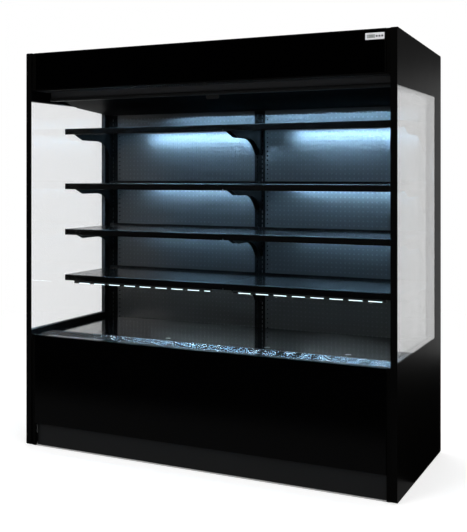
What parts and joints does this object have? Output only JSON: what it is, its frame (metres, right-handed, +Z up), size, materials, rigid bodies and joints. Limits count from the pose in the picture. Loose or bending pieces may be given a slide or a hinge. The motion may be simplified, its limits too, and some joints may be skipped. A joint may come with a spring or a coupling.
{
  "type": "open multideck display fridge",
  "caption": "Tall open-front refrigerated display cabinet with glazed sides, cantilever shelves with light strips, slotted deck grille, gloss header and lower panel.",
  "frame": {"origin": "on the floor, in the middle of the cabinet's footprint", "axes": "+Z up, +X to the right seen from the open front, +Y from the front to the back"},
  "size_m": [1.935, 0.8, 1.9997],
  "materials": {
    "black_panel": "gloss black powder-coated steel skins over foam",
    "header_acrylic": "gloss black acrylic",
    "kick_grey": "satin dark grey paint",
    "glass": "clear toughened glass",
    "black_trim": "satin black plastic",
    "galvanised": "grey coated steel",
    "well_liner": "dark grey liner over foam",
    "shelf_black": "semi-gloss black powder coat",
    "led_lens": "opal lens, cool white light",
    "coil_aluminium": "bare fins",
    "compressor_black": "satin black enamel",
    "foot_zinc": "zinc plated",
    "controller_grey": "light grey moulded plastic",
    "display_dark": "dark tinted window",
    "button_dark": "dark rubber caps",
    "blind_cloth": "dark woven blind cloth",
    "bar_aluminium": "black coated aluminium extrusion"
  },
  "bodies": {
    "cabinet": {"side_panel_left": "black_panel", "side_panel_right": "black_panel", "front_panel": "black_panel", "header_frame": "black_panel", "end_trims": "black_panel", "header_pane": "header_acrylic", "kick_plate": "kick_grey", "side_glazing_left": "glass", "side_glazing_right": "glass", "glazing_spacers": "black_trim", "air_outlet": "black_trim", "evaporator_fan_plate": "black_trim", "condenser_shroud": "black_trim", "mains_gland": "black_trim", "rear_casing": "galvanised", "roof_panel": "galvanised", "rear_service_panel": "galvanised", "base_frame": "galvanised", "condensing_unit_base": "galvanised", "insulated_well": "well_liner", "canopy_duct": "shelf_black", "shelf_uprights": "shelf_black", "shelf_brackets": "shelf_black", "back_panels": "shelf_black", "canopy_light": "led_lens", "evaporator_coil": "coil_aluminium", "condenser_coil": "coil_aluminium", "compressor": "compressor_black", "levelling_feet": "foot_zinc", "controller_bezel": "controller_grey", "controller_display": "display_dark", "night_blind_fabric": "blind_cloth"},
    "shelf_1_left": {"shelf_1_left": "shelf_black", "led_strip_1_left": "led_lens"},
    "shelf_2_left": {"shelf_2_left": "shelf_black", "led_strip_2_left": "led_lens"},
    "shelf_3_left": {"shelf_3_left": "shelf_black", "led_strip_3_left": "led_lens"},
    "shelf_4_left": {"shelf_4_left": "shelf_black", "led_strip_4_left": "led_lens"},
    "deck_left": {"deck_tray_left": "shelf_black"},
    "shelf_1_right": {"shelf_1_right": "shelf_black", "led_strip_1_right": "led_lens"},
    "shelf_2_right": {"shelf_2_right": "shelf_black", "led_strip_2_right": "led_lens"},
    "shelf_3_right": {"shelf_3_right": "shelf_black", "led_strip_3_right": "led_lens"},
    "shelf_4_right": {"shelf_4_right": "shelf_black", "led_strip_4_right": "led_lens"},
    "deck_right": {"deck_tray_right": "shelf_black"},
    "return_grille": {"return_grille": "shelf_black"},
    "evaporator_fan_1": {"evaporator_fan_1": "black_trim"},
    "button_1": {"controller_button_1": "button_dark"},
    "evaporator_fan_2": {"evaporator_fan_2": "black_trim"},
    "button_2": {"controller_button_2": "button_dark"},
    "evaporator_fan_3": {"evaporator_fan_3": "black_trim"},
    "button_3": {"controller_button_3": "button_dark"},
    "condenser_fan": {"condenser_fan": "black_trim"},
    "blind_bar": {"night_blind_bar": "bar_aluminium"},
    "blind_roller": {"night_blind_roller": "blind_cloth"}
  },
  "joints": [
    {"name": "shelf_1_left_out", "type": "slide", "parent": "cabinet", "child": "shelf_1_left", "axis": [0, -1, 0], "range_m": [0, 0.72]},
    {"name": "shelf_2_left_out", "type": "slide", "parent": "cabinet", "child": "shelf_2_left", "axis": [0, -1, 0], "range_m": [0, 0.72]},
    {"name": "shelf_3_left_out", "type": "slide", "parent": "cabinet", "child": "shelf_3_left", "axis": [0, -1, 0], "range_m": [0, 0.72]},
    {"name": "shelf_4_left_out", "type": "slide", "parent": "cabinet", "child": "shelf_4_left", "axis": [0, -1, 0], "range_m": [0, 0.72]},
    {"name": "deck_left_lift", "type": "slide", "parent": "cabinet", "child": "deck_left", "axis": [0, 0, 1], "range_m": [0, 0.12]},
    {"name": "shelf_1_right_out", "type": "slide", "parent": "cabinet", "child": "shelf_1_right", "axis": [0, -1, 0], "range_m": [0, 0.72]},
    {"name": "shelf_2_right_out", "type": "slide", "parent": "cabinet", "child": "shelf_2_right", "axis": [0, -1, 0], "range_m": [0, 0.72]},
    {"name": "shelf_3_right_out", "type": "slide", "parent": "cabinet", "child": "shelf_3_right", "axis": [0, -1, 0], "range_m": [0, 0.72]},
    {"name": "shelf_4_right_out", "type": "slide", "parent": "cabinet", "child": "shelf_4_right", "axis": [0, -1, 0], "range_m": [0, 0.72]},
    {"name": "deck_right_lift", "type": "slide", "parent": "cabinet", "child": "deck_right", "axis": [0, 0, 1], "range_m": [0, 0.12]},
    {"name": "return_grille_lift", "type": "slide", "parent": "cabinet", "child": "return_grille", "axis": [0, 0, 1], "range_m": [0, 0.12]},
    {"name": "evaporator_fan_1_spin", "type": "hinge", "parent": "cabinet", "child": "evaporator_fan_1", "pos_m": [-0.6, -0.1575, 0.46535], "axis": [0, 0.8459, 0.5333], "continuous": true},
    {"name": "evaporator_fan_2_spin", "type": "hinge", "parent": "cabinet", "child": "evaporator_fan_2", "pos_m": [0, -0.1575, 0.46535], "axis": [0, 0.8459, 0.5333], "continuous": true},
    {"name": "evaporator_fan_3_spin", "type": "hinge", "parent": "cabinet", "child": "evaporator_fan_3", "pos_m": [0.6, -0.1575, 0.46535], "axis": [0, 0.8459, 0.5333], "continuous": true},
    {"name": "condenser_fan_spin", "type": "hinge", "parent": "cabinet", "child": "condenser_fan", "pos_m": [0.668, -0.2387, 0.2121], "axis": [0, -1, 0], "continuous": true},
    {"name": "button_1_press", "type": "slide", "parent": "cabinet", "child": "button_1", "axis": [0, 1, 0], "range_m": [0, 0.0008], "stiffness_N_per_m": 500, "springref_m": -0.001},
    {"name": "button_2_press", "type": "slide", "parent": "cabinet", "child": "button_2", "axis": [0, 1, 0], "range_m": [0, 0.0008], "stiffness_N_per_m": 500, "springref_m": -0.001},
    {"name": "button_3_press", "type": "slide", "parent": "cabinet", "child": "button_3", "axis": [0, 1, 0], "range_m": [0, 0.0008], "stiffness_N_per_m": 500, "springref_m": -0.001},
    {"name": "night_blind_pull", "type": "slide", "parent": "cabinet", "child": "blind_bar", "axis": [0, 0, -1], "range_m": [0, 1.16], "stiffness_N_per_m": 8, "springref_m": -2.2, "deforming": ["night_blind_fabric"]},
    {"name": "night_blind_roll", "type": "hinge", "parent": "cabinet", "child": "blind_roller", "pos_m": [0, -0.2263, 1.835], "axis": [1, 0, 0], "range_deg": [0, 2900]}
  ],
  "couplings": [
    {"joint": "night_blind_roll", "follows": "night_blind_pull", "rad_per_m": 43.478}
  ]
}
